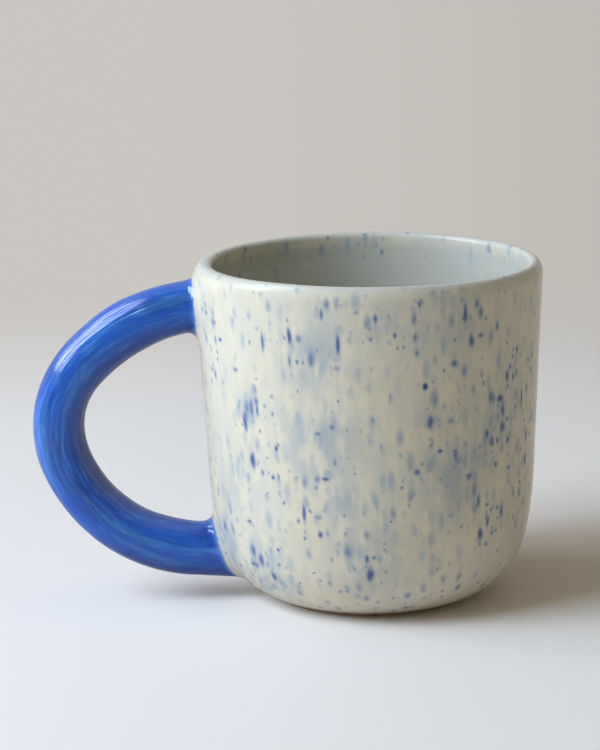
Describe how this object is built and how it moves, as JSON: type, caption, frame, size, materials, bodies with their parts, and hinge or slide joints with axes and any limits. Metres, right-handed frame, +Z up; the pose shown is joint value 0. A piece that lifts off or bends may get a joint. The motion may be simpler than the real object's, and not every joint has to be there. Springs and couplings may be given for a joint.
{
  "type": "mug",
  "caption": "Straight-sided stoneware mug with a rounded heel, a thick soft lip, a bare foot ring and a round coil handle; speckled cream glaze outside and a brushed cobalt handle.",
  "frame": {"origin": "centre of the foot ring on the table, on the axis that the cup is thrown about", "axes": "+Z up the cup's axis, the handle along -X in the XZ plane, +Y across"},
  "size_m": [0.1296, 0.0876, 0.086],
  "materials": {
    "stoneware": "bare fired buff clay",
    "joint_glaze": "glossy cobalt thinning to cream",
    "liner_glaze": "glossy grey-cream",
    "speckled_glaze": "glossy cream with cobalt specks and short runs",
    "cobalt_glaze": "glossy brushed cobalt"
  },
  "bodies": {
    "root": {"clay_body": "stoneware", "handle_coil": "stoneware", "upper_joint": "joint_glaze", "lower_joint": "joint_glaze", "liner_glaze": "liner_glaze", "outer_glaze": "speckled_glaze", "handle_glaze": "cobalt_glaze"}
  },
  "joints": []
}
